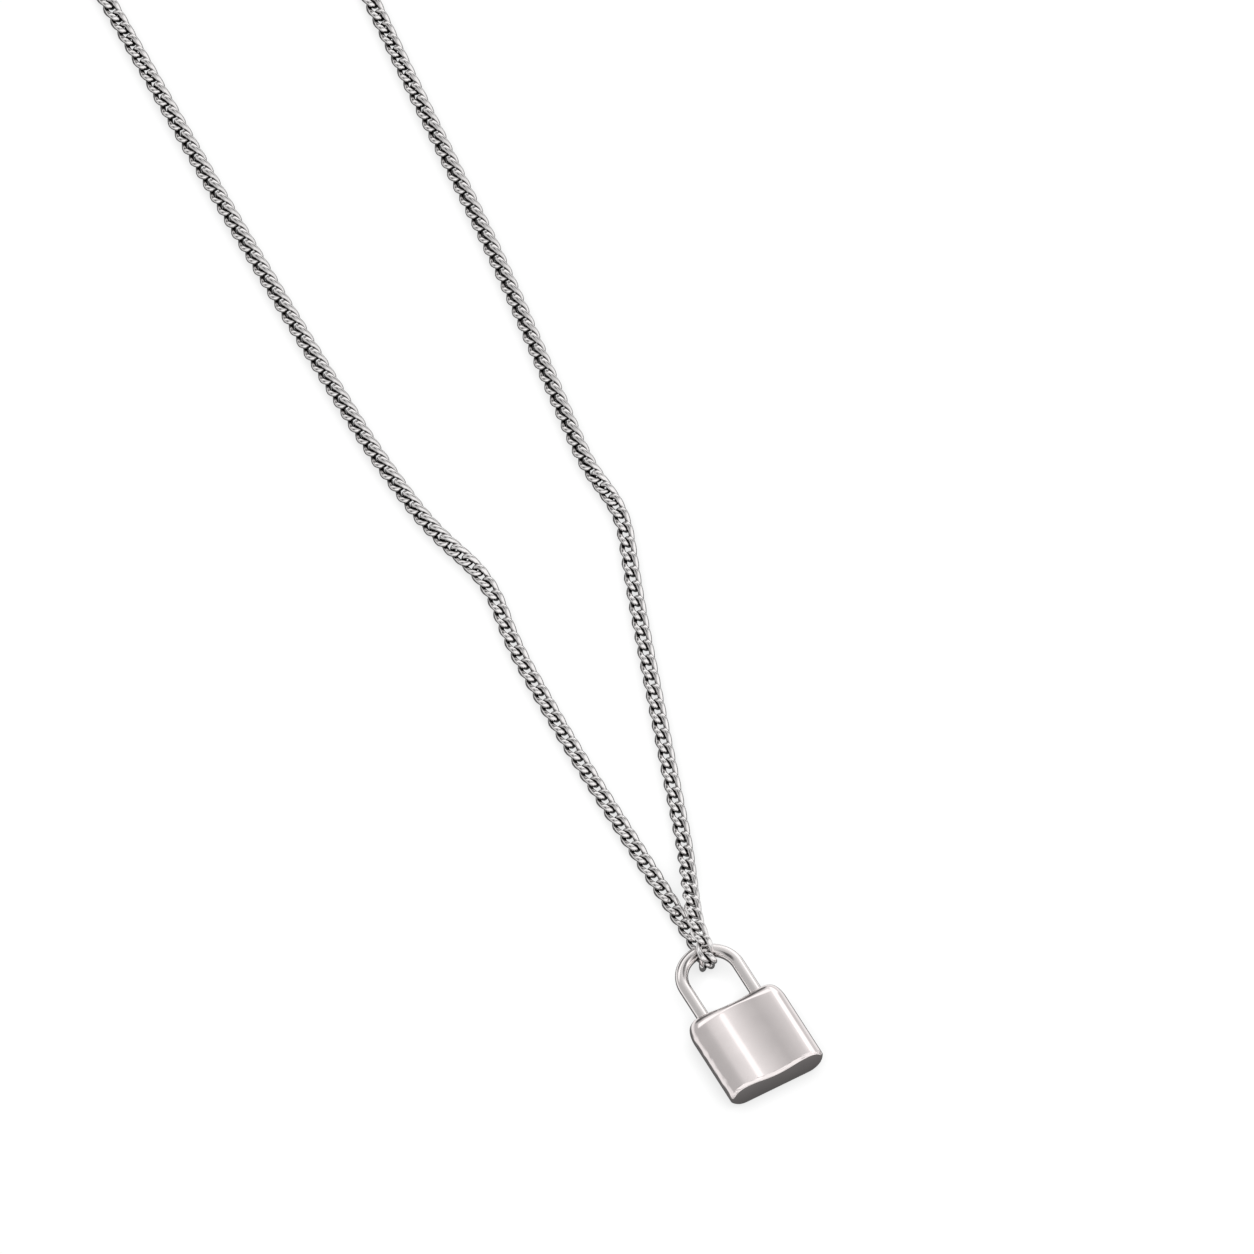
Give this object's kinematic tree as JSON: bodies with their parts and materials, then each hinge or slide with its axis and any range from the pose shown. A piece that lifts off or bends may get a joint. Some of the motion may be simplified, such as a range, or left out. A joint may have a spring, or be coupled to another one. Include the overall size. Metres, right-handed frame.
{
  "type": "padlock pendant necklace",
  "caption": "Small padlock pendant with a wavy two-lobed front and a U-shaped shackle, folded over which a curb-link neck chain lies as a closed loop with a plain barrel clasp",
  "frame": {"origin": "centre of the lock body's flat back, on the surface that the necklace lies on", "axes": "+X across the lock body, +Y from its foot to the shackle and on along the necklace, +Z out of the lock's front"},
  "size_m": [0.0563, 0.2806, 0.0065],
  "materials": {
    "lock_steel": "polished, faintly warm",
    "shackle_steel": "polished",
    "chain_steel": "polished round wire",
    "clasp_steel": "polished"
  },
  "bodies": {
    "root": {"lock_body": "lock_steel", "lock_shackle": "shackle_steel", "chain_left": "chain_steel", "chain_right": "chain_steel", "clasp": "clasp_steel"}
  },
  "joints": []
}
